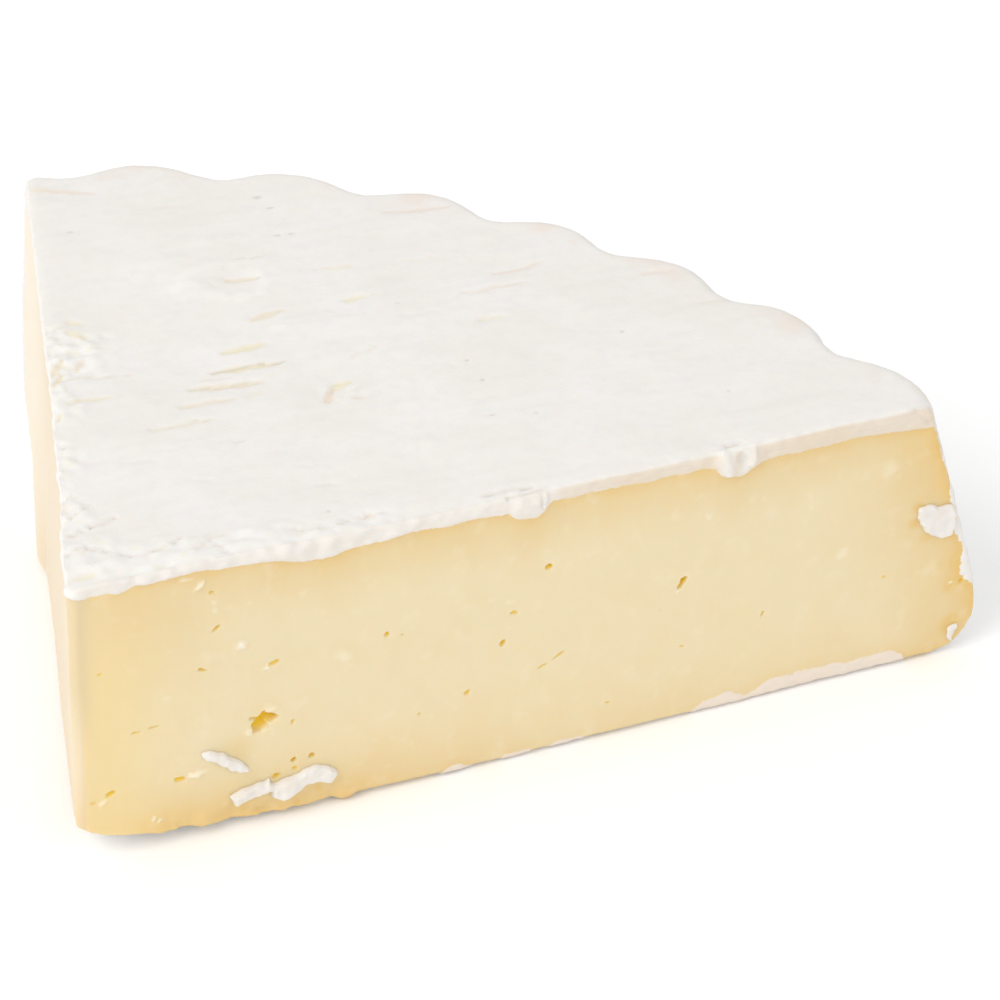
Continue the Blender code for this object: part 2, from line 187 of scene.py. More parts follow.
# Long thin dents in the top, in mm: from (x, y) to (x, y), width and depth, then how yellow and pink they
# are and how dark the painted shade line along their back edge is
DENTS = (
    (20.3, 29.4, 30.6, 29.0, 1.1, 0.26, 0.6, 0.0, 0.8),
    (25.7, 33.2, 34.5, 32.5, 1.2, 0.24, 0.5, 0.6, 0.4),
    (28.6, 36.7, 38.3, 35.4, 1.8, 0.40, 0.8, 0.6, 0.9),
    (32.3, 39.7, 42.8, 39.1, 1.6, 0.38, 0.9, 0.3, 1.2),
    (35.4, 43.4, 42.4, 44.0, 2.1, 0.30, 0.9, 0.1, 0.4),
    (30.0, 38.2, 35.0, 37.6, 1.0, 0.05, 0.0, 0.6, 0.0),
    (34.3, 32.6, 37.6, 32.9, 2.0, 0.06, 0.35, 0.0, 0.1),
    (41.8, 50.0, 47.5, 50.8, 1.9, 0.30, 0.7, 0.6, 0.3),
    (44.0, 47.4, 50.4, 47.0, 0.6, 0.10, 0.1, 0.0, 0.2),
    (41.8, 60.6, 46.6, 59.1, 1.8, 0.25, 0.7, 0.6, 0.0),
    (44.0, 65.0, 50.4, 64.0, 0.6, 0.18, 0.3, 0.0, 0.7),
    (39.4, 60.8, 40.8, 59.1, 0.5, 0.12, 0.0, 0.0, 0.5),
    (54.0, 58.6, 60.5, 58.1, 1.1, 0.14, 0.5, 0.2, 0.3),
    (54.6, 50.2, 58.4, 50.3, 1.5, 0.22, 0.8, 0.0, 0.5),
    (57.6, 50.2, 62.4, 50.0, 0.6, 0.06, 0.5, 0.0, 0.0),
    (12.2, 38.9, 19.0, 38.1, 1.0, 0.24, 0.7, 0.3, 0.4),
    (12.2, 44.9, 23.4, 42.5, 0.9, 0.20, 0.3, 0.6, 0.2),
    (68.5, 69.9, 78.0, 68.3, 1.6, 0.12, 0.0, 0.8, 0.0),
    (76.0, 49.6, 83.6, 49.9, 1.2, 0.18, 0.1, 0.8, 0.2),
    (70.0, 46.7, 80.6, 45.9, 1.1, 0.20, 0.0, 0.7, 0.3),
    (69.4, 39.3, 73.4, 38.9, 1.6, 0.20, 0.5, 0.1, 0.2),
    (53.6, 46.7, 57.0, 46.2, 0.7, 0.16, 0.1, 0.1, 0.4),
    (94.3, 42.8, 99.2, 42.2, 1.2, 0.15, 0.2, 0.8, 0.1),
    (45.6, 30.9, 48.8, 32.0, 1.8, 0.35, 0.9, 0.0, 0.8),
    (43.6, 28.0, 45.8, 30.8, 1.7, 0.35, 0.6, 1.0, 0.5),
    (43.6, 28.0, 49.0, 27.6, 0.6, 0.14, 0.1, 0.6, 0.1),
    (49.0, 27.6, 55.2, 29.0, 0.6, 0.12, 0.0, 0.1, 0.4),
    (50.6, 36.7, 56.0, 38.5, 0.7, 0.10, 0.0, 0.6, 0.0),
    (56.3, 32.2, 61.4, 31.2, 0.5, 0.10, 0.0, 0.0, 0.4),
    (61.3, 31.4, 62.6, 29.0, 0.5, 0.12, 0.0, 0.0, 0.2),
    (29.0, 23.2, 31.0, 23.1, 0.5, 0.08, 0.0, 0.0, 0.8),
    (28.6, 17.7, 30.4, 17.4, 0.5, 0.08, 0.0, 0.0, 0.6),
    (78.3, 12.5, 81.0, 11.9, 0.6, 0.12, 0.0, 0.0, 0.4),
    (80.0, 8.1, 83.8, 7.9, 0.5, 0.12, 0.0, 0.0, 0.3),
    (34.6, 15.6, 40.6, 14.4, 0.6, 0.18, 0.1, 0.2, 0.3),
    (35.7, 11.2, 39.4, 10.3, 0.6, 0.22, 0.1, 0.1, 0.5),
    (41.5, 19.2, 44.5, 18.8, 0.5, 0.12, 0.0, 0.0, 0.3),
    (98.0, 33.1, 104.0, 33.0, 0.8, 0.10, 0.0, 0.5, 0.0),
    (103.0, 22.5, 108.5, 22.9, 0.8, 0.10, 0.0, 0.2, 0.0),
    (77.6, 32.5, 84.0, 32.3, 0.7, 0.09, 0.0, 0.0, 0.0),
    (38.0, 82.4, 44.0, 81.6, 1.0, 0.08, 0.0, 0.4, 0.0),
    (54.4, 72.4, 57.0, 72.0, 0.7, 0.14, 0.0, 0.0, 0.0),
    (54.2, 68.9, 56.2, 68.5, 0.8, 0.16, 0.0, 0.0, 0.0),
    (64.0, 57.0, 72.0, 56.4, 1.2, 0.08, 0.2, 0.2, 0.0),
    (50.0, 41.2, 57.0, 40.7, 0.9, 0.08, 0.0, 0.1, 0.0),
    (60.0, 44.0, 66.0, 43.4, 1.0, 0.10, 0.3, 0.0, 0.0),
    (84.0, 24.2, 92.0, 23.9, 0.8, 0.08, 0.0, 0.1, 0.0),
    (88.0, 38.0, 95.0, 37.5, 0.9, 0.08, 0.0, 0.2, 0.0),
    (20.0, 24.6, 26.0, 24.0, 0.8, 0.12, 0.0, 0.1, 0.2),
    (15.2, 23.6, 20.4, 22.3, 0.8, 0.16, 0.1, 0.2, 0.5),
    (20.9, 17.0, 24.2, 16.2, 0.8, 0.22, 0.2, 0.1, 0.3),
    (25.2, 94.2, 28.2, 92.2, 2.4, 0.00, 0.6, 0.2, 0.0),
    (27.4, 92.6, 34.0, 88.6, 1.8, 0.00, 0.0, 0.9, 0.0),
    (19.2, 58.4, 21.6, 56.2, 1.4, 0.15, 0.7, 0.0, 0.1),
    (18.6, 55.5, 20.6, 53.2, 1.8, 0.25, 0.8, 0.0, 0.4),
    (16.8, 46.4, 18.8, 48.3, 1.1, 0.15, 0.7, 0.7, 0.3),
    (11.8, 45.8, 15.8, 48.9, 1.3, 0.12, 1.0, 0.8, 0.1),
    (11.2, 42.9, 14.8, 46.0, 1.4, 0.15, 1.2, 0.6, 0.1),
    (12.2, 46.6, 15.0, 46.4, 1.0, 0.25, 0.8, 0.5, 0.0),
    (9.5, 35.6, 11.2, 36.7, 1.3, 0.30, 1.0, 0.2, 0.1),
    (22.4, 53.4, 23.6, 52.0, 1.3, 0.25, 0.0, 0.2, 0.5),
    (24.2, 49.0, 25.2, 50.2, 0.6, 0.15, 0.0, 0.0, 0.4),
    (1.2, 1.6, 4.4, 2.4, 2.0, 0.10, 0.6, 0.0, 0.1),
)

# Low white ridges in the top, in mm: corners in a row, width and how fresh they look
WHITE_RIDGES = (
    ((35.0, 59.6), (36.1, 61.9), (37.9, 63.3), (40.3, 64.0), (43.2, 64.2)), 4.0, 0.35,
    ((37.0, 61.4), (40.0, 62.0), (43.0, 62.6)), 3.2, 0.25,
    ((46.4, 62.4), (46.9, 59.0), (46.6, 56.4), (44.3, 55.4), (41.4, 55.6), (38.6, 57.6)), 3.0, 0.38,
    ((43.0, 47.4), (45.8, 46.4)), 1.8, 0.4,
    ((47.0, 29.4), (49.4, 30.8)), 1.0, 0.7,
)

# Creases where the rind is folded at the cuts, in mm: corners in a row, width and depth
CREASES = (
    ((4.4, 14.4), (6.6, 15.4), (8.6, 15.9)), 0.9, 0.30,
    ((3.2, 10.6), (6.4, 11.9), (10.4, 12.4)), 0.9, 0.34,
    ((2.2, 6.8), (4.6, 7.6), (6.4, 6.6), (7.6, 5.4)), 1.0, 0.34,
    ((5.0, 18.4), (7.0, 19.6)), 0.8, 0.25,
    ((8.2, 4.6), (10.6, 3.6), (13.6, 4.4), (16.4, 5.6)), 0.8, 0.28,
    ((6.4, 25.0), (8.8, 25.6)), 0.8, 0.22,
    ((17.0, 2.4), (18.6, 4.2), (21.6, 4.6)), 0.8, 0.24,
    ((19.6, 3.6), (20.4, 0.8)), 0.7, 0.28,
    ((28.4, 3.6), (31.4, 1.8), (34.4, 1.6), (37.2, 2.9), (39.4, 2.6)), 0.8, 0.28,
    ((38.4, 3.4), (40.8, 2.4)), 0.9, 0.30,
    ((53.4, 1.6), (57.0, 1.3), (61.0, 0.8)), 0.8, 0.34,
    ((86.0, 1.2), (88.6, 0.9)), 0.9, 0.34,
)

SPECKS = (
    (54.2, 79.7, 1.3), (54.8, 76.4, 1.0), (52.9, 68.9, 0.9), (55.0, 68.7, 0.8), (27.4, 79.8, 0.9),
    (61.4, 47.4, 0.7), (64.0, 25.6, 0.7), (62.0, 17.6, 0.7), (67.1, 16.1, 0.6), (64.2, 30.6, 0.6),
    (8.7, 29.0, 0.8), (32.7, 5.2, 0.5), (34.9, 5.0, 0.5), (85.8, 30.2, 0.6), (92.5, 12.4, 0.6),
    (45.5, 69.5, 0.6), (71.0, 60.0, 0.5), (30.2, 49.0, 0.5),
)

# Ridges and lumps on the cut rind, in mm: (along, below the top), the same, width, proud
RIND_RIDGES = (
    (58.2, 1.9, 60.2, 2.2, 3.8, 0.55),
    (56.4, 0.2, 61.0, 0.5, 0.8, -0.30),
    (61.4, 0.9, 61.2, 2.6, 0.7, 0.25),
    (60.8, 1.0, 60.7, 2.4, 0.5, -0.25),
    (86.2, 1.9, 89.0, 1.9, 4.6, 0.45),
    (85.6, 0.8, 86.4, 3.2, 2.0, 0.35),
    (88.0, 1.3, 88.5, 2.0, 1.8, -0.60),
    (86.4, 3.6, 88.8, 3.6, 1.2, 0.25),
    (89.9, 0.8, 89.7, 2.8, 0.8, 0.30),
    (112.4, 0.4, 114.6, 2.6, 1.0, -0.25),
    (91.5, 1.0, 91.9, 2.6, 0.5, -0.12),
    (101.0, 0.8, 101.2, 2.4, 0.6, 0.10),
)
BAND_SPOT = (112.8, 1.2, 0.8)  # an orange spot on the cut rind: along, below the top and width

# Places where the paste is warmer than round about, in mm: along the cut, up and width. Those along the
# foot of the long scrap also stand for painted shade beneath it
WARM_SPOTS = (
    (114.2, 24.8, 1.7, 1.0), (114.0, 22.4, 1.7, 1.0), (115.8, 19.6, 1.8, 0.9),
    (116.9, 26.0, 1.8, 0.8), (114.6, 26.0, 3.5, 0.5), (120.4, 11.0, 2.8, 1.0),
    (121.4, 4.6, 3.4, 1.1), (28.4, 3.4, 5.0, 0.7), (18.6, 4.2, 3.0, 0.7), (20.6, 11.6, 2.6, 0.6),
    (24.4, 16.8, 1.8, 0.3), (16.5, 3.0, 1.8, 0.9), (21.8, 2.6, 1.6, 1.0),
    (25.2, 2.6, 1.3, 1.05), (28.6, 1.6, 1.8, 1.05), (31.6, 3.0, 1.6, 1.0), (26.0, 6.4, 1.3, 0.9),
    (7.0, 37.0, 12.0, 0.6),
)

# Loose scraps of rind stuck to the longer cut, in mm: thickness, how rounded the outline is
# from 0 to 1, then its corners (along, up)
SCRAPS = {
    "scrap_short": (1.1, 0.8, (
        (16.3, 13.1), (17.6, 13.0), (18.8, 12.5), (20.3, 11.2), (21.7, 10.1), (22.3, 9.2),
        (22.1, 8.6), (21.1, 8.9), (19.9, 9.5), (18.7, 10.5), (17.6, 11.5), (16.4, 12.3))),
    "scrap_long": (1.3, 0.6, (
        (19.9, 5.4), (21.5, 5.9), (23.1, 6.2), (24.7, 6.4), (25.1, 6.7), (25.3, 5.7),
        (26.3, 5.6), (27.5, 6.0), (29.1, 6.3), (30.1, 6.8), (31.5, 6.8), (33.1, 6.2),
        (34.0, 5.4), (33.8, 4.3), (33.1, 3.6), (31.5, 4.3), (30.3, 4.3), (29.3, 3.8),
        (28.3, 3.1), (26.9, 2.8), (25.5, 3.5), (25.3, 4.5), (24.3, 4.5), (23.1, 4.2),
        (21.9, 3.8), (20.5, 3.7), (20.1, 4.6))),
    "rind_bit": (0.7, 0.9, (
        (114.7, 24.6), (116.0, 25.0), (117.9, 24.3), (119.5, 24.2), (120.4, 22.2), (120.2, 20.3),
        (119.5, 19.3), (117.8, 19.4), (116.2, 20.5), (115.1, 22.2), (114.6, 23.4))),
    "rind_curl": (0.7, 1.0, (
        (121.0, 3.8), (121.5, 4.5), (122.3, 4.5), (122.6, 3.9), (122.0, 3.6), (121.9, 2.8),
        (121.7, 1.9), (121.0, 2.5))),
}

# Where the top is torn or lumpy, in mm: place, reach along x and y, the lumps' height and width
LUMPY = (
    (17.0, 50.5, 5.2, 9.0, 0.46, 1.6),
    (12.6, 39.0, 3.0, 6.0, 0.40, 1.5),
    (8.8, 29.0, 2.6, 7.0, 0.32, 1.6),
    (5.0, 15.0, 3.6, 8.0, 0.36, 2.0),
    (5.5, 6.0, 4.5, 6.0, 0.34, 2.6),
    (12.0, 3.0, 10.0, 4.0, 0.40, 2.6),
    (26.0, 2.4, 9.0, 3.2, 0.34, 2.4),
    (38.0, 1.8, 9.0, 2.8, 0.32, 2.4),
    (42.4, 60.8, 8.0, 5.6, 0.13, 2.4),
    (46.4, 29.8, 4.0, 3.4, 0.24, 1.8),
    (51.4, 14.4, 2.4, 1.6, 0.16, 2.0),
)

# The rind's depth on the longer cut, in mm: along the cut, below the top and above the base
TOP_RIND = (
    (0, 1.6), (5, 1.8), (6, 2.2), (8, 1.5), (17, 1.5), (23, 2.0), (29, 2.7), (32, 3.2),
    (36, 2.4), (42, 2.0), (55, 2.3), (56.6, 2.5), (57.4, 3.4), (58.7, 3.9), (60.4, 4.0),
    (61.5, 2.9), (62.3, 2.2), (83, 2.2), (84.6, 2.5), (85.4, 3.6), (87, 4.2), (88.5, 4.5),
    (89.6, 3.6), (91, 3.1), (93, 2.8),
    (106, 2.8), (112, 3.3), (118, 3.9),
)
BASE_RIND = (
    (0, -1), (47.6, -0.8), (48.6, 0.8), (50.5, 1.2), (52.5, 0.5), (53.4, -0.4), (56, -0.3),
    (57, 1.0), (60.6, 0.8), (61.4, -0.3), (63, 0.3), (64.6, 1.0), (67.5, 0.8), (69, -0.2),
    (75, -0.3), (83.2, 0.2), (85, 1.6), (89, 1.8), (91.3, 1.1), (93.2, 1.5), (95, 2.4),
    (99, 2.6), (104, 2.4), (111, 2.4), (113, 2.1), (114.4, 1.2), (115.2, -0.3), (130, -1),
)

# The rind's depth beside the rim on the longer cut, in mm: up the cut and in from the rim
RIM_RIND = (
    (0, 0.1), (9.2, 0.1), (10.4, 1.2), (11.4, 1.8), (13.4, 1.9), (16.7, 1.5), (19, 1.1),
    (26, 0.9), (27.5, 0.3), (40, 0.4),
)
SIDE_RIM_RIND = 6.0  # the same on the shorter cut, where the rim's skin wraps round the corner


def smooth_step(value, low, high):
    """0 below low, 1 above high, and a smooth rise between them."""
    t = np.clip((value - low) / (high - low), 0.0, 1.0)
    return t * t * (3.0 - 2.0 * t)


def dome(distance, width):
    return np.exp(-((distance / width) ** 2))


def waves(points, relief):
    """Smooth uneven waves, for a relief given as (height, width)."""
    height, width = relief
    if points.shape[1] == 2:
        points = np.column_stack([points, np.zeros(len(points))])
    return height * np.array([noise.noise(point) for point in (points / width).tolist()])


def rim_section():
    """Closely spaced (outward, up) down the rim's section: shoulder, side and round foot."""
    turn = np.linspace(0.0, math.pi / 2, 24)
    shoulder = np.column_stack([
        -SHOULDER_RADIUS * (1.0 - np.sin(turn)),
        HEIGHT - SHOULDER_RADIUS * (1.0 - np.cos(turn)),
    ])
    side_top = HEIGHT - SHOULDER_RADIUS
    down = np.linspace(0.0, 1.0, 60)[1:-1]
    side = np.column_stack([
        BELLY_OVERHANG * (1.0 - (1.0 - down) ** BELLY_POWER),
        side_top + (FOOT_RADIUS - side_top) * down,
    ])
    foot = np.column_stack([
        BELLY_OVERHANG - FOOT_RADIUS * (1.0 - np.cos(turn)),
        FOOT_RADIUS * (1.0 - np.sin(turn)),
    ])
    return np.vstack([shoulder, side, foot])


SECTION = rim_section()
SECTION_SHARE = np.append(0.0, np.cumsum(np.hypot(*np.diff(SECTION, axis=0).T)))
SECTION_SHARE /= SECTION_SHARE[-1]


def valley(angle):
    """0 on the crest of a scallop and 1 in the valley between two."""
    uneven = UNEVEN_LOBES * np.sin(UNEVEN_WAVES * angle + UNEVEN_TURN)
    phase = LOBES * (angle - FIRST_CREST) + uneven
    return (0.5 - 0.5 * np.cos(phase)) ** SCALLOP_POWER


def scalloped(radius, angle, up):
    """The radius of a point of the plain wheel once the scallops draw it in."""
    reach = smooth_step(radius, WHEEL_RADIUS - SCALLOP_REACH, WHEEL_RADIUS)
    depth = SCALLOP_DEPTH * (1.0 - SCALLOP_FADE * (1.0 - up / HEIGHT)) * reach
    return radius - depth * valley(angle)


def rim_point(angle, share):
    """The rim's point at an angle round the wheel and a share of the way down its section."""
    up = np.interp(share, SECTION_SHARE, SECTION[:, 1])
    radius = scalloped(WHEEL_RADIUS + np.interp(share, SECTION_SHARE, SECTION[:, 0]), angle, up)
    return np.stack([
        WHEEL_CENTRE[0] + radius * np.cos(angle),
        WHEEL_CENTRE[1] + radius * np.sin(angle),
        up + 0.0 * angle,
    ], axis=-1)


def to_rim(points):
    """How far a point lies inside the rim, measured level and away from the wheel's axis."""
    away = points[:, :2] - WHEEL_CENTRE
    outward = np.interp(points[:, 2], SECTION[::-1, 1], SECTION[::-1, 0])
    rim = scalloped(WHEEL_RADIUS + outward, np.arctan2(away[:, 1], away[:, 0]), points[:, 2])
    return rim - np.hypot(away[:, 0], away[:, 1])


def angle_at(share, side, low, high):
    """Where round the wheel the rim meets a cut, whose outer side is given."""
    low = np.full_like(share, low)
    high = np.full_like(share, high)
    rising = rim_point(high, share)[:, :2] @ side > 0
    for _ in range(40):
        middle = (low + high) / 2
        past = (rim_point(middle, share)[:, :2] @ side > 0) == rising
        high = np.where(past, middle, high)
        low = np.where(past, low, middle)
    return (low + high) / 2


def graded_grid(high, step, level):
    """Points of a triangular grid up to a corner, thinned to every 2 ** level(x, y)-th."""
    row, column = np.mgrid[0:int(high[1] / step * 1.16) + 2, 0:int(high[0] / step) + 2]
    x = (column + 0.5 * (row % 2)) * step
    y = row * step * math.sqrt(0.75)
    stride = 2 ** level(x, y)
    keep = ((column - row // 2) % stride == 0) & (row % stride == 0)
    return np.column_stack([x[keep], y[keep]])


def fill(outline, grid):
    """Triangles inside a flat outline, with corners on it and at the grid's points."""
    inside = np.zeros(len(grid), bool)
    clear = np.full(len(grid), np.inf)
    for start, end in zip(outline, np.roll(outline, -1, axis=0)):
        crossed = (start[1] > grid[:, 1]) != (end[1] > grid[:, 1])
        slope = (end[0] - start[0]) / (end[1] - start[1]) if crossed.any() else 0.0
        inside ^= crossed & (grid[:, 0] < start[0] + (grid[:, 1] - start[1]) * slope)
        gap = ((grid - (start + end) / 2) ** 2).sum(axis=1)
        clear = np.minimum(clear, gap / ((end - start) ** 2).sum())
    points = np.vstack([outline, grid[inside & (clear > 0.5)]])
    loop = [list(range(len(outline)))]
    made = delaunay_2d_cdt([Vector(point) for point in points], [], loop, 1, 1e-9)
    origin = [first[0] for first in made[3]]
    return points, [[origin[i] for i in face] for face in made[2]]


def sheet(rows, columns):
    """Square faces of a sheet of points given row by row."""
    return [
        (row * columns + i, row * columns + i + 1, (row + 1) * columns + i + 1, (row + 1) * columns + i)
        for row in range(rows - 1) for i in range(columns - 1)
    ]


def front_level(along, up):
    """Finest at the eyes, fine at the edges and coarse over the smooth paste."""
    level = np.full(along.shape, 2)
    level[(up > HEIGHT - 6 * MM) | (up < 3.2 * MM) | (along > 111 * MM)] = 1
    flat = np.column_stack([along.ravel(), 0.0 * along.ravel(), up.ravel()])
    settled = settled_height(flat).reshape(up.shape)
    for eye in EYES:
        reach = (0.7 * eye[2] + 0.5) * MM
        level[np.hypot(along - eye[0] * MM, settled - eye[1] * MM) < reach] = 0
    return level


def even_level(x, y):
    return np.full(x.shape, 1)


def edge_steps(start, end, step):
    return np.linspace(start, end, round(abs(end - start) / step) + 1)


def sharp_wedge():
    """The wedge with sharp edges, as (corners, faces) of its six surfaces."""
    share = np.linspace(0.0, 1.0, RIM_ROWS)
    first = angle_at(share, np.array([0.0, 1.0]), 0.05, 0.40)
    last = angle_at(share, SHORTER_SIDE, 1.10, 1.50)
    across = np.linspace(0.0, 1.0, RIM_COLUMNS)
    angles = first[:, None] + (last - first)[:, None] * across
    rim = rim_point(angles, share[:, None] + 0.0 * angles)
    levels = edge_steps(0.0, HEIGHT, EDGE_STEP)
    half = WEDGE_ANGLE / 2
    middle = TIP_RADIUS / math.sin(half) * np.array([math.cos(half), math.sin(half)])
    turns = -math.pi / 2 - (math.pi - WEDGE_ANGLE) * np.linspace(0.0, 1.0, TIP_STEPS + 1)
    tip = middle + TIP_RADIUS * np.column_stack([np.cos(turns), np.sin(turns)])

    def cut(column, direction, step, level):
        reach = column[:, :2] @ direction
        base = edge_steps(TIP_START, reach[-1], EDGE_STEP)
        top = edge_steps(TIP_START, reach[0], EDGE_STEP)
        outline = np.vstack([
            np.column_stack([base[:-1], 0.0 * base[:-1]]),
            np.column_stack([reach, column[:, 2]])[::-1][:-1],
            np.column_stack([top, HEIGHT + 0.0 * top])[::-1][:-1],
            np.column_stack([TIP_START + 0.0 * levels, levels])[::-1][:-1],
        ])
        points, faces = fill(outline, graded_grid((0.128, HEIGHT), step, level))
        plan = points[:, :1] * direction
        return (np.column_stack([plan, points[:, 1]]), faces), base, top

    front, front_base, front_top = cut(rim[:, 0], LONGER, FRONT_STEP, front_level)
    side, side_base, side_top = cut(rim[:, -1], SHORTER, SIDE_STEP, even_level)

    def deck(longer, rim_row, shorter, step, level, up):
        outline = np.vstack([
            longer[:-1, None] * LONGER,
            rim_row[:-1, :2],
            (shorter[:, None] * SHORTER)[::-1][:-1],
            tip[::-1][:-1],
        ])
        points, faces = fill(outline, graded_grid((0.130, 0.120), step, level))
        return np.column_stack([points, np.full(len(points), up)]), faces

    top = deck(front_top, rim[0], side_top, TOP_STEP, even_level, HEIGHT)
    base = deck(front_base, rim[-1], side_base, BASE_STEP / 2, even_level, 0.0)
    nose = np.array([(*place, up) for up in levels for place in tip])
    return [
        front, side, top, base,
        (rim.reshape(-1, 3), sheet(RIM_ROWS, RIM_COLUMNS)),
        (nose, sheet(len(levels), len(tip))),
    ]


def joined(parts):
    """One closed mesh of triangles, as a mesh and its corners' places."""
    corners = np.vstack([part[0] for part in parts])
    faces = []
    count = 0
    for points, own in parts:
        faces += [[count + i for i in face] for face in own]
        count += len(points)
    mesh = bpy.data.meshes.new(NODE)
    mesh.from_pydata(corners.tolist(), [], faces)
    bm = bmesh.new()
    bm.from_mesh(mesh)
    bmesh.ops.remove_doubles(bm, verts=bm.verts, dist=WELD)
    bmesh.ops.triangulate(bm, faces=bm.faces)
    bmesh.ops.recalc_face_normals(bm, faces=bm.faces)
    bm.to_mesh(mesh)
    bm.free()
    return mesh


def corners_of(mesh):
    flat = np.empty(3 * len(mesh.vertices))
    mesh.vertices.foreach_get("co", flat)
    return flat.reshape(-1, 3)


def place_corners(mesh, corners):
    mesh.vertices.foreach_set("co", corners.ravel())
    mesh.update()


def normals_of(mesh, corners):
    place_corners(mesh, corners)
    flat = np.empty(3 * len(mesh.vertices))
    mesh.vertices.foreach_get("normal", flat)
    return flat.reshape(-1, 3)


def mark(plan):
    """The oval mark in the top: a shallow dish inside a low ring."""
    spread = np.hypot(*((plan - MARK_PLACE) / MARK_RADII).T)
    height, width = MARK_RING
    return MARK_DEPTH * (height * dome(spread - 1.0, width) - dome(spread, MARK_DISH))


def settled_height(points):
    """How high the corners of the sharp wedge lie once its top and base are uneven."""
    plan = points[:, :2]
    distance = np.hypot(*plan.T)
    up = points[:, 2] / HEIGHT
    rise = TIP_RISE * (1.0 - np.minimum(distance / WHEEL_RADIUS, 1.0))
    rise += waves(plan, TOP_SWELL) + waves(plan, TOP_LUMPS) + mark(plan)
    lift = sum(height * np.exp(-distance / fade) for height, fade in TIP_LIFT)
    lift *= 1.0 - smooth_step(distance, *TIP_LIFT_END)
    edge = np.maximum(0.0, 1.0 - np.minimum(plan[:, 1], -plan @ SHORTER_SIDE) / EDGE_WIDTH)
    lift += EDGE_LIFT * edge * np.maximum(0.0, 0.5 + waves(plan, EDGE_WANDER))
    return points[:, 2] + up * rise + (1.0 - up) * lift


def solid_relief(points):
    """Where the corners of the sharp wedge lie on the soft, uneven one of the part."""
    plan = points[:, :2]
    longer_gap = points[:, 1]
    shorter_gap = -plan @ SHORTER_SIDE
    up = points[:, 2] / HEIGHT
    moved = points.copy()
    moved[:, 2] = settled_height(points)
    knife = waves(moved * (1.0, 1.0, KNIFE_SQUEEZE), KNIFE_WAVES)
    at_longer = np.maximum(0.0, 1.0 - longer_gap / TIP_RADIUS)
    at_shorter = np.maximum(0.0, 1.0 - shorter_gap / TIP_RADIUS)
    start, crest, end = LEDGE_ALONG
    along = plan @ SHORTER
    ledge = smooth_step(along, start, crest) * (1.0 - smooth_step(along, crest, end))
    ledge *= LEDGE_HEIGHT * (1.0 - smooth_step(moved[:, 2], 0.0, LEDGE_UP))
    moved[:, 1] -= knife * at_longer * (1.0 - at_shorter)
    proud = (knife + ledge) * at_shorter * (1.0 - at_longer)
    lean = FLARE * (1.0 - up) * smooth_step(along, *FLARE_FROM)
    lean -= SET_BACK * up * smooth_step(along, *SET_BACK_FROM)
    proud += lean * np.maximum(0.0, 1.0 - shorter_gap / EDGE_WIDTH)
    moved[:, :2] += proud[:, None] * SHORTER_SIDE
    outward = plan - WHEEL_CENTRE
    radius = np.hypot(*outward.T)
    at_rim = smooth_step(radius, WHEEL_RADIUS - SCALLOP_REACH, WHEEL_RADIUS)
    clear = smooth_step(longer_gap, 0.0, EDGE_WIDTH) * smooth_step(up, 0.0, RIM_LUMPS_FROM)
    slump, fade = CORNER_SLUMP
    swell = waves(moved, RIM_LUMPS) * clear
    swell -= slump * np.exp(-np.maximum(shorter_gap, 0.0) / fade)
    swell += RIM_BOW * dome(longer_gap, RIM_BOW_FADE) * smooth_step(moved[:, 2], *RIM_BOW_FROM)
    moved[:, :2] += outward * (swell * at_rim / radius)[:, None]
    return moved


def smoothed(mesh, corners, weight, rounds):
    """Draws corners towards the middle of their neighbours, by weight."""
    edges = np.empty(2 * len(mesh.edges), int)
    mesh.edges.foreach_get("vertices", edges)
    edges = edges.reshape(-1, 2)
    both = np.vstack([edges, edges[:, ::-1]])
    count = np.bincount(both[:, 0], minlength=len(corners))
    for _ in range(rounds):
        for_axis = [
            np.bincount(both[:, 0], corners[both[:, 1], axis], len(corners)) for axis in range(3)
        ]
        middle = np.column_stack(for_axis) / count[:, None]
        corners = corners + (middle - corners) * weight[:, None]
    return corners


class Zones:
    """Which surfaces of the sharp wedge each corner lies on, and how far it is from others."""

    def __init__(self, points):
        self.points = points
        self.along = points[:, 0]
        self.up = points[:, 2]
        self.settled = settled_height(points)
        self.below = HEIGHT - points[:, 2]
        self.longer_gap = points[:, 1]
        self.shorter_gap = -points[:, :2] @ SHORTER_SIDE
        self.shorter_along = points[:, :2] @ SHORTER
        self.rim_gap = to_rim(points)
        near = 0.01 * MM
        self.front = self.longer_gap < near
        self.side = self.shorter_gap < near
        self.nose = np.hypot(*points[:, :2].T) < TIP_START + near
        self.cut = self.front | self.side | (self.nose & (self.below > near) & (self.up > near))
        self.top = self.below < near
        self.base = self.up < near
        self.rim = np.abs(self.rim_gap) < near


def rind_margin(zones):
    """How deep in the rind each corner lies, in mm; below 0 it is paste."""
    x = zones.along / MM
    ragged = waves(zones.points, (0.5, 3 * MM)) + waves(zones.points, (0.25, 0.8 * MM))
    side_base = np.interp(zones.shorter_along / MM, (62, 72), (-1.0, 1.5))
    rim = np.interp(zones.up / MM, *zip(*RIM_RIND))
    margins = [
        np.interp(x, *zip(*TOP_RIND)) - zones.below / MM + 0.5 * ragged,
        np.where(zones.front, np.interp(x, *zip(*BASE_RIND)), side_base) - zones.up / MM + ragged,
        np.where(zones.side, SIDE_RIM_RIND, rim) - zones.rim_gap / MM + 1.5 * ragged,
    ]
    gap = np.minimum(zones.longer_gap, zones.shorter_gap) / MM
    skin = np.where(zones.base, np.interp(x, *zip(*BASE_RIND)) + 0.8 * gap, 3.0)
    return np.where(zones.cut, np.max(margins, axis=0), np.minimum(skin, 3.0))


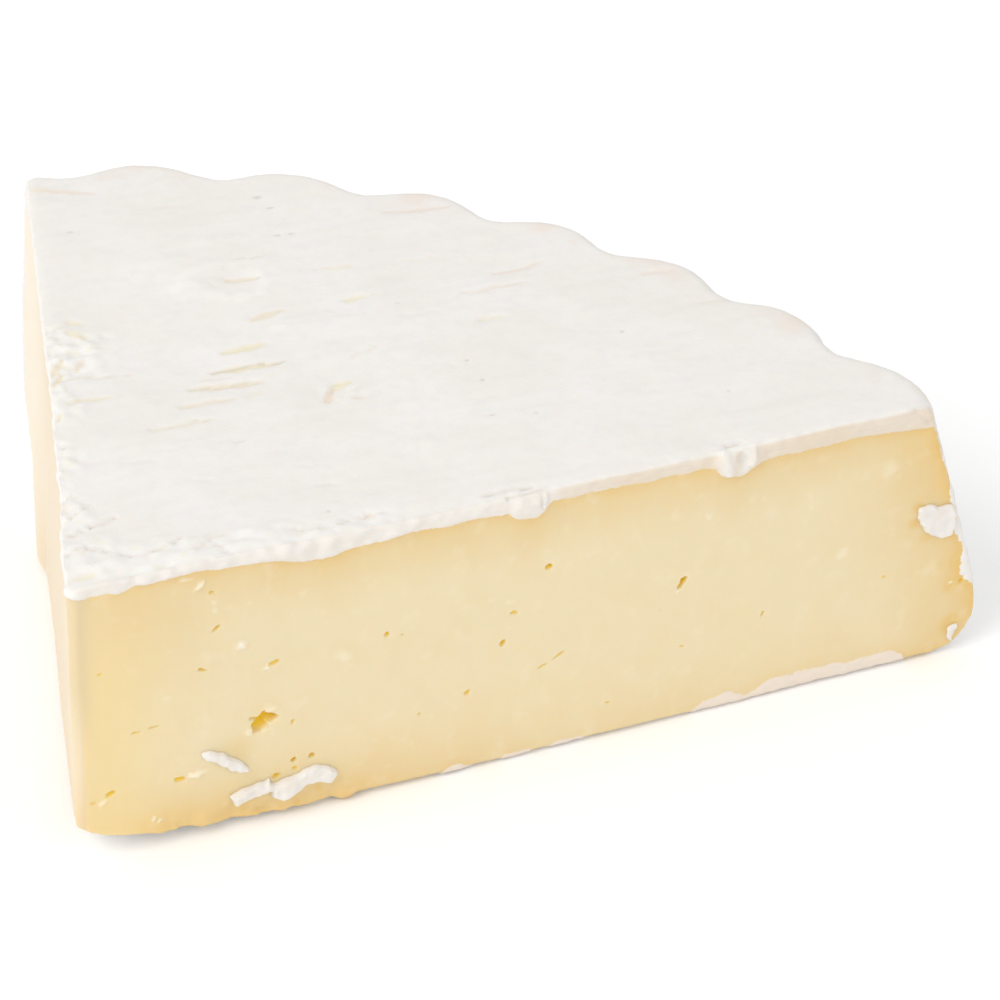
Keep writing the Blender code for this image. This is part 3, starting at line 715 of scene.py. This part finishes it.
def oval(zones, place, size, tilt):
    """Each corner's (run, rise) in an oval on the longer cut, 1 at its rim, and whether near."""
    dx = zones.along / MM - place[0]
    dz = zones.settled / MM - place[1]
    near = zones.front & (np.hypot(dx, dz) < 1.2 * max(size))
    turn = math.radians(tilt)
    run = (dx[near] * math.cos(turn) + dz[near] * math.sin(turn)) / (0.5 * size[0])
    rise = (dz[near] * math.cos(turn) - dx[near] * math.sin(turn)) / (0.5 * size[1])
    return run, rise, near


def eye_hollow(zones):
    """How deep the eyes go at each corner, in mm, and how golden they are there: the eyes' own gold, made
    stronger towards each upper wall as painted shade.
    """
    depth = np.zeros(len(zones.points))
    gold_and_shade = np.zeros(len(zones.points))
    for along, up, length, width, tilt, sink in EYES:
        run, rise, near = oval(zones, (along, up), (length, width), tilt)
        wobble = 1.0 + waves(zones.points[near], (0.6, 0.8 * MM))
        hollow = 1.0 - smooth_step(np.hypot(run, rise) * wobble, 0.5, 1.1)
        # Painted shade: the gold grows towards each eye's upper wall, where the hollow lies in shade
        leaning = np.clip(0.75 + 0.45 * (run * math.sin(math.radians(tilt)) + rise), 0.3, 1.1)
        strength = np.clip(0.45 + sink, 0.0, 1.0)
        gold_and_shade[near] = np.maximum(gold_and_shade[near], strength * hollow * np.clip(leaning, 0.0, 1.0))
        depth[near] = np.maximum(depth[near], sink * hollow * leaning)
    return depth, gold_and_shade


def flecks(zones):
    """The pale flecks on the cut paste, as (height in mm, paleness) at each corner."""
    height = np.zeros(len(zones.points))
    pale = np.zeros(len(zones.points))
    for along, up, length, width, tilt, proud, paleness in FLECKS:
        run, rise, near = oval(zones, (along, up), (length, width), tilt)
        wobble = 1.0 + waves(zones.points[near], (0.7, 0.9 * MM))
        inside = 1.0 - smooth_step(np.hypot(run, rise) * wobble, 0.3, 1.2)
        height[near] += proud * inside
        pale[near] = np.maximum(pale[near], paleness * inside)
    return height, pale


def stroke(plan, start, end, width):
    """How deep in a long thin lens-shaped mark each point lies, from 0 to 1."""
    run = np.subtract(end, start)
    length = np.hypot(*run)
    run = run / length
    away = plan - start
    share = away @ run / length
    across = away @ np.array([-run[1], run[0]])
    taper = np.sqrt(np.clip(np.sin(math.pi * np.clip(share, 0.0, 1.0) ** 0.8), 0.0, 1.0))
    half = 0.5 * width * np.maximum(taper, 1e-6)
    return np.where((share > 0) & (share < 1), np.clip(1.0 - (across / half) ** 2, 0.0, 1.0), 0.0)


def top_marks(zones):
    """The top's fine relief, its yellow and pinkish stains, and its dark specks, with painted shade along
    the dents and in the creases, at each corner.
    """
    plan = zones.points[:, :2] / MM
    streaky = zones.points * (0.12, 1.0, 1.0)
    height = waves(streaky, (0.045, 0.55 * MM)) + waves(streaky, (0.09, 1.7 * MM))
    height += waves(zones.points * (0.4, 1.0, 1.0), (0.12, 4.0 * MM))
    height += waves(zones.points, (0.03, 0.9 * MM))
    lumpy = np.zeros(len(plan))
    folded = zones.points @ LUMP_TURN * (0.65, 1.0, 1.0)
    for x, y, reach_x, reach_y, lumps, width in LUMPY:
        spread = np.hypot((plan[:, 0] - x) / reach_x, (plan[:, 1] - y) / reach_y)
        own = lumps * (1.0 - smooth_step(spread, 0.55, 1.1))
        ridged = 0.7 - 2.4 * np.abs(waves(folded, (1.0, 1.3 * width * MM)))
        height += own * (ridged + waves(folded, (0.6, 0.55 * width * MM)))
        lumpy = np.maximum(lumpy, own)
    wander = np.column_stack([
        waves(zones.points, (0.3, 2.5 * MM)), waves(zones.points + 0.1, (0.45, 1.8 * MM))])
    ragged = plan + wander
    yellow = lumpy * smooth_step(waves(zones.points, (1.0, 1.6 * MM)), 0.1, 0.5)
    pink = np.zeros(len(plan))
    dark_marks_and_shade = np.zeros(len(plan))
    for x, y, to_x, to_y, width, depth, yellow_share, pink_share, dark in DENTS:
        inside = stroke(ragged, (x, y), (to_x, to_y), width)
        height -= depth * inside
        yellow = np.maximum(yellow, yellow_share * inside)
        pink = np.maximum(pink, pink_share * inside)
        # Painted shade: a dark line along each dent's back edge
        back = 0.15 * width
        line = stroke(ragged, (x, y + back), (to_x, to_y + back), 0.6)
        dark_marks_and_shade = np.maximum(dark_marks_and_shade, 0.7 * dark * line)
    for corners, width, depth in zip(CREASES[::3], CREASES[1::3], CREASES[2::3]):
        for start, end in zip(corners, corners[1:]):
            inside = stroke(ragged, start, end, 0.8 * width)
            height -= 1.4 * depth * inside
            pink = np.maximum(pink, 0.6 * inside)
            # Painted shade down the middle of the crease
            dark_marks_and_shade = np.maximum(dark_marks_and_shade, 0.45 * stroke(ragged, start, end, 0.45 * width))
    fresh = 1.2 * lumpy * np.clip(0.6 + waves(zones.points, (1.6, 1.6 * MM)), 0.0, 1.0)
    for corners, width, strength in zip(*(WHITE_RIDGES[i::3] for i in range(3))):
        for start, end in zip(corners, corners[1:]):
            inside = stroke(ragged, start, end, width)
            height += 0.12 * strength * inside
            fresh = np.maximum(fresh, strength * inside)
    for x, y, width in SPECKS:
        inside = dome(np.hypot((plan[:, 0] - x) * 0.7, plan[:, 1] - y), 0.4 * width)
        height -= 0.15 * inside
        dark_marks_and_shade = np.maximum(dark_marks_and_shade, inside)
    return height, {"yellow": yellow, "pink": pink, "dark_marks_and_shade": dark_marks_and_shade, "fresh": fresh}


def cut_relief(zones, margin):
    """The cuts, in mm: faint drag of the knife, a crumbly lower edge and the rind's ridges."""
    drawn = zones.points * (1.0, 1.0, 0.25)
    height = waves(drawn, (0.03, 1.1 * MM)) + waves(zones.points, (0.06, 5 * MM))
    x = zones.along / MM
    crumbly = smooth_step(x, 8, 14) * (1.0 - smooth_step(x, 34, 44)) * zones.front
    crumbly *= 1.0 - smooth_step(zones.up / MM, 0.8, 3.4)
    height += crumbly * (waves(zones.points, (0.8, 3.1 * MM)) + waves(zones.points, (0.2, 1.1 * MM)))
    rind = smooth_step(margin, -0.1, 0.4)
    layered = zones.points * (0.25, 1.0, 1.0)
    rough = 0.12 + waves(zones.points, (0.12, 1.3 * MM)) + waves(layered, (0.10, 0.6 * MM))
    crumpled = 1.0 - smooth_step(np.hypot(*zones.points[:, :2].T) / MM, 40, 60)
    rough += crumpled * (0.12 + waves(zones.points, (0.45, 1.9 * MM)))
    height = height * (1.0 - rind) + rind * rough
    places = np.column_stack([x, zones.below / MM])
    for x0, below0, x1, below1, width, proud in RIND_RIDGES:
        run = np.array([x1 - x0, below1 - below0])
        share = np.clip((places - (x0, below0)) @ run / (run @ run), 0.0, 1.0)
        away = np.hypot(*(places - (x0, below0) - share[:, None] * run).T)
        height += zones.front * proud * (1.0 - smooth_step(away, 0.1 * width, 0.55 * width))
    return height * zones.cut


def paste_warmth(zones, margin):
    """How warm the paste's yellow is, from 0 in the middle to 1 next to the rind."""
    under = dome(np.minimum(margin, 0.0), 5.2)
    far_foot = smooth_step(zones.along / MM, 40, 60) * (1.0 - smooth_step(zones.up / MM, 6, 14))
    under *= 1.0 - 0.6 * far_foot
    low = dome(zones.up / MM, 7.0) * (1.45 - 1.0 * smooth_step(zones.along / MM, 32, 66))
    rim = dome(zones.rim_gap / MM, 11.0) * zones.front
    warmth = np.maximum.reduce([under, low, 1.35 * rim])
    # Warm spots, partly painted shade beneath the long scrap
    for along, up, width, strength in WARM_SPOTS:
        away = np.hypot(zones.along / MM - along, zones.settled / MM - up)
        warmth = np.maximum(warmth, 1.6 * strength * dome(away, width) * zones.front)
    return np.clip(warmth + 0.3 * dome(np.minimum(margin, 0.0), 1.2), 0.0, 1.7)


def layer_lines(zones, margin):
    """How cream the cut rind is where it was folded over in layers, and the layers' thin lines."""
    depth = zones.below / MM + waves(zones.points * (0.2, 1.0, 1.0), (0.5, 1.5 * MM))
    line = smooth_step(np.sin(depth * 2 * math.pi / 0.75), 0.3, 1.0)
    where = smooth_step(zones.along / MM, 60, 66) * zones.front * (margin > -0.5)
    where = where * smooth_step(zones.below / MM, 0.1, 0.7) * (zones.below < 8 * MM)
    for lump in (59.3, 85.9, 88.8):
        where = where * (1.0 - 0.9 * dome(zones.along / MM - lump, 1.2))
    folded = 0.2 * zones.front * (zones.along < 62 * MM) * (zones.below < 8 * MM)
    cream = where * (0.9 + waves(zones.points, (0.5, 9 * MM)))
    return np.clip(np.maximum(cream, folded), 0.0, 1.0), line * where


def paint(mesh, points, layers):
    """Gives the mesh its values for the material, and each corner's place in mm."""
    for name, values in layers.items():
        layer = mesh.attributes.new(name, "FLOAT", "POINT")
        layer.data.foreach_set("value", values.astype(np.float32))
    place = mesh.attributes.new("place", "FLOAT_VECTOR", "POINT")
    place.data.foreach_set("vector", (points / MM).astype(np.float32).ravel())


def make_wedge():
    mesh = joined(sharp_wedge())
    zones = Zones(corners_of(mesh))
    corners = solid_relief(zones.points)
    edge_gaps = np.minimum.reduce([
        np.hypot(zones.longer_gap, zones.below),
        np.hypot(zones.longer_gap, zones.up),
        np.hypot(zones.shorter_gap, zones.below),
        np.hypot(zones.shorter_gap, zones.up),
        np.hypot(zones.longer_gap, zones.rim_gap),
        np.hypot(zones.shorter_gap, zones.rim_gap),
    ])
    folded = 1.0 - smooth_step(zones.along, 52 * MM, 64 * MM)
    soft = (0.3 + 0.2 * folded) * (1.0 - smooth_step(edge_gaps / MM, 0.3, 1.2 + 1.2 * folded))
    corners = smoothed(mesh, corners, soft, 12)
    normals = normals_of(mesh, corners)
    hollow, eye = eye_hollow(zones)
    fleck, pale = flecks(zones)
    height, stains = top_marks(zones)
    over = np.clip(normals[:, 2], 0.0, 1.0) ** 2 * (zones.below < 3 * MM)
    margin = rind_margin(zones)
    outer = zones.rim & ~zones.cut
    bark = waves(zones.points, (0.25, 3.0 * MM)) + waves(zones.points, (0.12, 1.1 * MM))
    relief = height * over - hollow + fleck + cut_relief(zones, margin) + bark * outer * (1 - over)
    corners = corners + normals * (relief * MM)[:, None]
    corners[:, 2] = np.maximum(corners[:, 2], 0.0)
    place_corners(mesh, corners + TIP_PLACE)
    crest = 1.0 - valley(np.arctan2(*(zones.points[:, :2] - WHEEL_CENTRE).T[::-1]))
    edge = dome(zones.rim_gap / MM - 0.5, 3.0) * dome(zones.below / MM, 3.0) * crest
    edge *= np.clip(0.5 + waves(zones.points, (1.4, 5 * MM)), 0.0, 1.0)
    layers = {
        "rind": margin,
        "eye": eye,
        "warm": paste_warmth(zones, margin),
        **{name: stain * over for name, stain in stains.items()},
        "pale": pale,
        "tip": dome(zones.along / MM - 4.0, 6.5) * zones.front,
    }
    layers["tip"] *= 1.0 - 0.7 * smooth_step(zones.up / MM, 24, 38)
    layers["cream"], lines = layer_lines(zones, margin)
    along, below, width = BAND_SPOT
    spot = dome(np.hypot(zones.along / MM - along, zones.below / MM - below), width) * zones.front
    layers["pink"] = np.maximum(layers["pink"], 0.6 * edge * ~zones.cut) + 0.6 * lines + spot
    layers["dark_marks_and_shade"] = np.maximum(layers["dark_marks_and_shade"], 0.42 * lines)
    layers["low"] = zones.front * (zones.up < 3.2 * MM) * (margin > -0.5)
    layers["side"] = np.where(zones.front, 1.0 - smooth_step(zones.along / MM, 0.6, 3.2), 1.0)
    layers["side"] *= zones.cut * (0.6 + 0.4 * smooth_step(zones.shorter_along / MM, 4, 30))
    # Painted shade: the upper part of the rounded nose gets a darker paste colour
    layers["nose"] = dome(np.hypot(zones.along, zones.longer_gap) / MM - 1.0, 1.3) * zones.cut
    layers["nose"] *= 0.9 * smooth_step(zones.up / MM, 12, 26)
    far = smooth_step(zones.shorter_along / MM, 40, 95) * zones.side
    layers["pale"] = np.maximum(layers["pale"], 0.45 * far)
    paint(mesh, zones.points, layers)
    mesh.shade_smooth()
    wedge = bpy.data.objects.new("cheese_wedge", mesh)
    bpy.context.scene.collection.objects.link(wedge)
    print("triangles", len(mesh.polygons))
    return wedge


def colour(red, green, blue):
    """A colour given by its screen values, 0 to 255."""
    parts = [part / 255 for part in (red, green, blue)]
    linear = [p / 12.92 if p < 0.04045 else ((p + 0.055) / 1.055) ** 2.4 for p in parts]
    return (*linear, 1.0)


PASTE_PALE = colour(231, 215, 177)
PASTE_WARM = colour(228, 204, 154)
PASTE_GOLD = colour(226, 188, 108)
PASTE_TIP = colour(236, 213, 156)
PASTE_SIDE = colour(224, 206, 180)
# The paste's colour down the nose, darkened as painted shade
PASTE_NOSE_SHADE = colour(218, 199, 158)
PASTE_FLECK = colour(247, 240, 222)
# The eyes' gold, which also carries painted shade at their upper walls
EYE_GOLD_AND_SHADE = colour(238, 198, 4)
RIND_WHITE = colour(234, 231, 227)
RIND_CREAM = colour(232, 228, 222)
RIND_FRESH = colour(241, 240, 236)
RIND_GREY = colour(227, 223, 218)
RIND_YELLOW = colour(231, 223, 196)
RIND_PINK = colour(230, 215, 201)
RIND_CUT = colour(226, 212, 192)
RIND_LOW = colour(232, 219, 205)
# Dark specks and lines, and painted shade in the dents and creases
DARK_MARK_AND_SHADE_GREY = colour(190, 182, 170)


def outline_gap(points, outline):
    """How far each point lies from a closed outline."""
    gap = np.full(len(points), np.inf)
    for start, end in zip(outline, np.roll(outline, -1, axis=0)):
        run = end - start
        share = np.clip((points - start) @ run / (run @ run), 0.0, 1.0)
        gap = np.minimum(gap, np.hypot(*(points - start - share[:, None] * run).T))
    return gap


def make_scrap(name, thickness, rounded, corners):
    """A torn scrap of rind on the longer cut: rounded, knobbly and sunk a little into it."""
    knots = np.array(corners) * MM
    steps = np.linspace(0.0, 1.0, 9)[:-1]
    before, after, later = (np.roll(knots, turn, axis=0) for turn in (1, -1, -2))
    outline = []
    for p0, p1, p2, p3 in zip(before, knots, after, later):
        for t in steps:
            bend = (2 * p0 - 5 * p1 + 4 * p2 - p3) * t ** 2 + (3 * p1 - p0 - 3 * p2 + p3) * t ** 3
            smooth = 0.5 * (2 * p1 + (p2 - p0) * t + bend)
            outline.append(rounded * smooth + (1.0 - rounded) * (p1 + (p2 - p1) * t))
    outline = np.array(outline)
    wander = np.column_stack([
        waves(outline, (0.22 * MM, 0.9 * MM)), waves(outline + MM, (0.22 * MM, 0.9 * MM))])
    outline = outline + wander
    low = outline.min(axis=0) - MM
    grid = low + graded_grid(outline.max(axis=0) + MM - low, SCRAP_STEP, lambda x, y: 0 * x.astype(int))
    points, faces = fill(outline, grid)
    gap = outline_gap(points, outline)
    round_edge = 0.45 * thickness * MM
    rise = np.sqrt(1.0 - (1.0 - np.clip(gap / round_edge, 0.0, 1.0)) ** 2)
    flat = np.column_stack([points[:, 0], 0.0 * gap, points[:, 1]])
    knobs = 1.0 + waves(flat, (0.6, 2.4 * MM)) + waves(flat, (0.22, 0.9 * MM))
    face = -waves(flat * (1.0, 1.0, 2.0), KNIFE_WAVES)
    front = flat.copy()
    front[:, 1] = face - rise * thickness * MM * 0.6 * knobs - 0.1 * MM
    back = flat.copy()
    back[:, 1] = face + 0.5 * MM
    count = len(points)
    rim = len(outline)
    sides = [(i, (i + 1) % rim, count + (i + 1) % rim, count + i) for i in range(rim)]
    backs = [[count + i for i in reversed(corner)] for corner in faces]
    mesh = bpy.data.meshes.new(name)
    both = np.vstack([front, back])
    mesh.from_pydata((both + TIP_PLACE).tolist(), [], faces + backs + sides)
    bm = bmesh.new()
    bm.from_mesh(mesh)
    bmesh.ops.triangulate(bm, faces=bm.faces)
    bmesh.ops.recalc_face_normals(bm, faces=bm.faces)
    bm.to_mesh(mesh)
    bm.free()
    tint = 0.25 + waves(both, (0.3, 1.5 * MM))
    rind = np.tile(np.minimum(3.0, 8.0 * gap / MM), 2)
    paint(mesh, both, {"rind": rind, "pink": np.clip(tint, 0.0, 1.0), "warm": 0.0 * rind + 0.9})
    mesh.shade_smooth()
    scrap = bpy.data.objects.new(name, mesh)
    bpy.context.scene.collection.objects.link(scrap)
    return scrap


class Nodes:
    """A material's node tree, with short calls for the nodes it is made of."""

    def __init__(self, name):
        self.material = bpy.data.materials.new(name)
        self.material.use_nodes = True
        self.tree = self.material.node_tree
        self.shader = self.tree.nodes["Principled BSDF"]

    def add(self, kind, inputs=None, **settings):
        node = self.tree.nodes.new("ShaderNode" + kind)
        for name, value in settings.items():
            setattr(node, name, value)
        for name, value in (inputs or {}).items():
            self.put(node, name, value)
        return node

    def put(self, node, name, value):
        if isinstance(value, bpy.types.NodeSocket):
            self.tree.links.new(value, node.inputs[name])
        else:
            node.inputs[name].default_value = value

    def value(self, name):
        return self.add("Attribute", attribute_name=name).outputs["Fac"]

    def place(self):
        return self.add("Attribute", attribute_name="place").outputs["Vector"]

    def noise(self, where, scale, detail=3.0):
        node = self.add("TexNoise", {"Vector": where, "Scale": scale, "Detail": detail})
        return node.outputs["Fac"]

    def math(self, operation, first, second):
        return self.add("Math", {0: first, 1: second}, operation=operation).outputs[0]

    def ramp(self, value, low, high, to_low=0.0, to_high=1.0):
        inputs = {"Value": value, "From Min": low, "From Max": high, "To Min": to_low,
                  "To Max": to_high}
        return self.add("MapRange", inputs).outputs["Result"]

    def mix(self, share, first, second):
        node = self.add("Mix", data_type="RGBA")
        self.put(node, 0, share)
        self.put(node, 6, first)
        self.put(node, 7, second)
        return node.outputs[2]


def cheese_material():
    nodes = Nodes("cheese_rind_and_paste")
    place = nodes.place()
    cloud = nodes.math("SUBTRACT", nodes.noise(place, 0.16, 6.0), 0.5)
    warmth = nodes.math("ADD", nodes.value("warm"), nodes.math("MULTIPLY", cloud, 0.8))
    paste = nodes.mix(nodes.ramp(warmth, 0.0, 1.0), PASTE_PALE, PASTE_WARM)
    paste = nodes.mix(nodes.ramp(warmth, 1.0, 1.8), paste, PASTE_GOLD)
    blotch = nodes.ramp(nodes.noise(place, 0.33, 5.0), 0.56, 0.76, 0.0, 0.2)
    paste = nodes.mix(blotch, paste, PASTE_FLECK)
    paste = nodes.mix(nodes.ramp(nodes.value("side"), 0.0, 1.0, 0.0, 0.85), paste, PASTE_SIDE)
    paste = nodes.mix(nodes.ramp(nodes.value("tip"), 0.0, 1.0, 0.0, 0.8), paste, PASTE_TIP)
    # Painted shade down the upper part of the nose
    paste = nodes.mix(nodes.value("nose"), paste, PASTE_NOSE_SHADE)
    paste = nodes.mix(nodes.ramp(nodes.value("pale"), 0.05, 1.0), paste, PASTE_FLECK)
    paste = nodes.mix(nodes.ramp(nodes.value("eye"), 0.1, 0.7), paste, EYE_GOLD_AND_SHADE)
    rind = nodes.mix(nodes.ramp(nodes.noise(place, 0.08, 4.0), 0.35, 0.65), RIND_WHITE, RIND_CREAM)
    rind = nodes.mix(nodes.ramp(nodes.noise(place, 0.5, 6.0), 0.45, 0.75, 0.0, 0.5), rind, RIND_GREY)
    rind = nodes.mix(nodes.value("cream"), rind, RIND_CUT)
    rind = nodes.mix(nodes.value("low"), rind, RIND_LOW)
    rind = nodes.mix(nodes.ramp(nodes.value("fresh"), 0.1, 1.0), rind, RIND_FRESH)
    rind = nodes.mix(nodes.ramp(nodes.value("yellow"), 0.1, 0.9), rind, RIND_YELLOW)
    rind = nodes.mix(nodes.ramp(nodes.value("pink"), 0.1, 1.1), rind, RIND_PINK)
    # Dark specks and lines, with painted shade in the dents and creases
    rind = nodes.mix(nodes.ramp(nodes.value("dark_marks_and_shade"), 0.2, 1.0, 0.0, 0.6), rind, DARK_MARK_AND_SHADE_GREY)
    fine = nodes.math("SUBTRACT", nodes.noise(place, 2.5), 0.5)
    margin = nodes.math("ADD", nodes.value("rind"), nodes.math("MULTIPLY", fine, 0.5))
    mask = nodes.ramp(margin, -0.05, 0.12)
    nodes.put(nodes.shader, "Base Color", nodes.mix(mask, paste, rind))
    nodes.put(nodes.shader, "Roughness", nodes.ramp(mask, 0.0, 1.0, 0.42, 0.8))
    nodes.put(nodes.shader, "Subsurface Weight", nodes.ramp(mask, 0.0, 1.0, 0.35, 0.10))
    nodes.put(nodes.shader, "Subsurface Radius", (1.0, 0.6, 0.3))
    nodes.put(nodes.shader, "Subsurface Scale", 0.002)
    height = nodes.noise(place, 3.0, 6.0)
    strength = nodes.ramp(mask, 0.0, 1.0, 0.06, 0.14)
    bump = nodes.add("Bump", {"Height": height, "Strength": strength, "Distance": 0.0002})
    nodes.put(nodes.shader, "Normal", bump.outputs["Normal"])
    return nodes.material


def make_floor():
    mesh = bpy.data.meshes.new("floor")
    mesh.from_pydata([(-3, -3, 0), (3, -3, 0), (3, 3, 0), (-3, 3, 0)], [], [(0, 1, 2, 3)])
    floor = bpy.data.objects.new("floor", mesh)
    bpy.context.scene.collection.objects.link(floor)
    nodes = Nodes("floor_white")
    nodes.put(nodes.shader, "Base Color", (0.99, 0.99, 0.99, 1.0))
    nodes.put(nodes.shader, "Roughness", 0.9)
    nodes.put(nodes.shader, "Emission Color", (1.0, 1.0, 1.0, 1.0))
    nodes.put(nodes.shader, "Emission Strength", 0.03)
    mesh.materials.append(nodes.material)
    return floor


def area_light(name, place, target, size, power):
    light = bpy.data.lights.new(name, "AREA")
    light.shape = "DISK"
    light.size = size
    light.energy = power
    lamp = bpy.data.objects.new(name, light)
    lamp.location = place
    lamp.rotation_euler = (Vector(target) - Vector(place)).to_track_quat("-Z", "Y").to_euler()
    bpy.context.scene.collection.objects.link(lamp)


def make_lights():
    area_light("key", (-1.0, -0.35, 1.0), (0, 0, 0.02), 1.0, 8.9)
    area_light("fill", (0.6, -1.2, 0.9), (0, 0, 0.02), 1.0, 1.85)
    world = bpy.data.worlds.new("studio")
    world.use_nodes = True
    background = world.node_tree.nodes["Background"]
    background.inputs["Color"].default_value = (1.0, 1.0, 1.0, 1.0)
    background.inputs["Strength"].default_value = 0.78
    bpy.context.scene.world = world
    bpy.context.scene.view_settings.view_transform = "Standard"


CAMERA_PLACE = Vector((-0.17756, -0.41836, 0.31232))
CAMERA_YAW = 1.13598
CAMERA_PITCH = 0.59366
CAMERA_ROLL = 0.034418
CAMERA_LENS = 144.0


def make_camera():
    yaw, pitch, roll = CAMERA_YAW, CAMERA_PITCH, CAMERA_ROLL
    forward = Vector((math.cos(yaw) * math.cos(pitch), math.sin(yaw) * math.cos(pitch), -math.sin(pitch)))
    level = Vector((math.sin(yaw), -math.cos(yaw), 0.0))
    upright = level.cross(forward)
    right = math.cos(roll) * level + math.sin(roll) * upright
    up = -math.sin(roll) * level + math.cos(roll) * upright
    turn = Matrix((right, up, -forward)).transposed().to_4x4()
    data = bpy.data.cameras.new("camera")
    data.lens = CAMERA_LENS
    data.sensor_width = 36.0
    data.clip_start = 0.01
    camera = bpy.data.objects.new("camera", data)
    camera.matrix_world = Matrix.Translation(CAMERA_PLACE) @ turn
    bpy.context.scene.collection.objects.link(camera)
    bpy.context.scene.camera = camera


def main():
    make_camera()
    make_lights()
    make_floor()
    wedge = make_wedge()
    pieces = [wedge]
    pieces += [make_scrap(name, *shape) for name, shape in SCRAPS.items()]
    cheese = cheese_material()
    for piece in pieces:
        piece.data.materials.append(cheese)
        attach(piece, "root")
    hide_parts(NODE)


main()
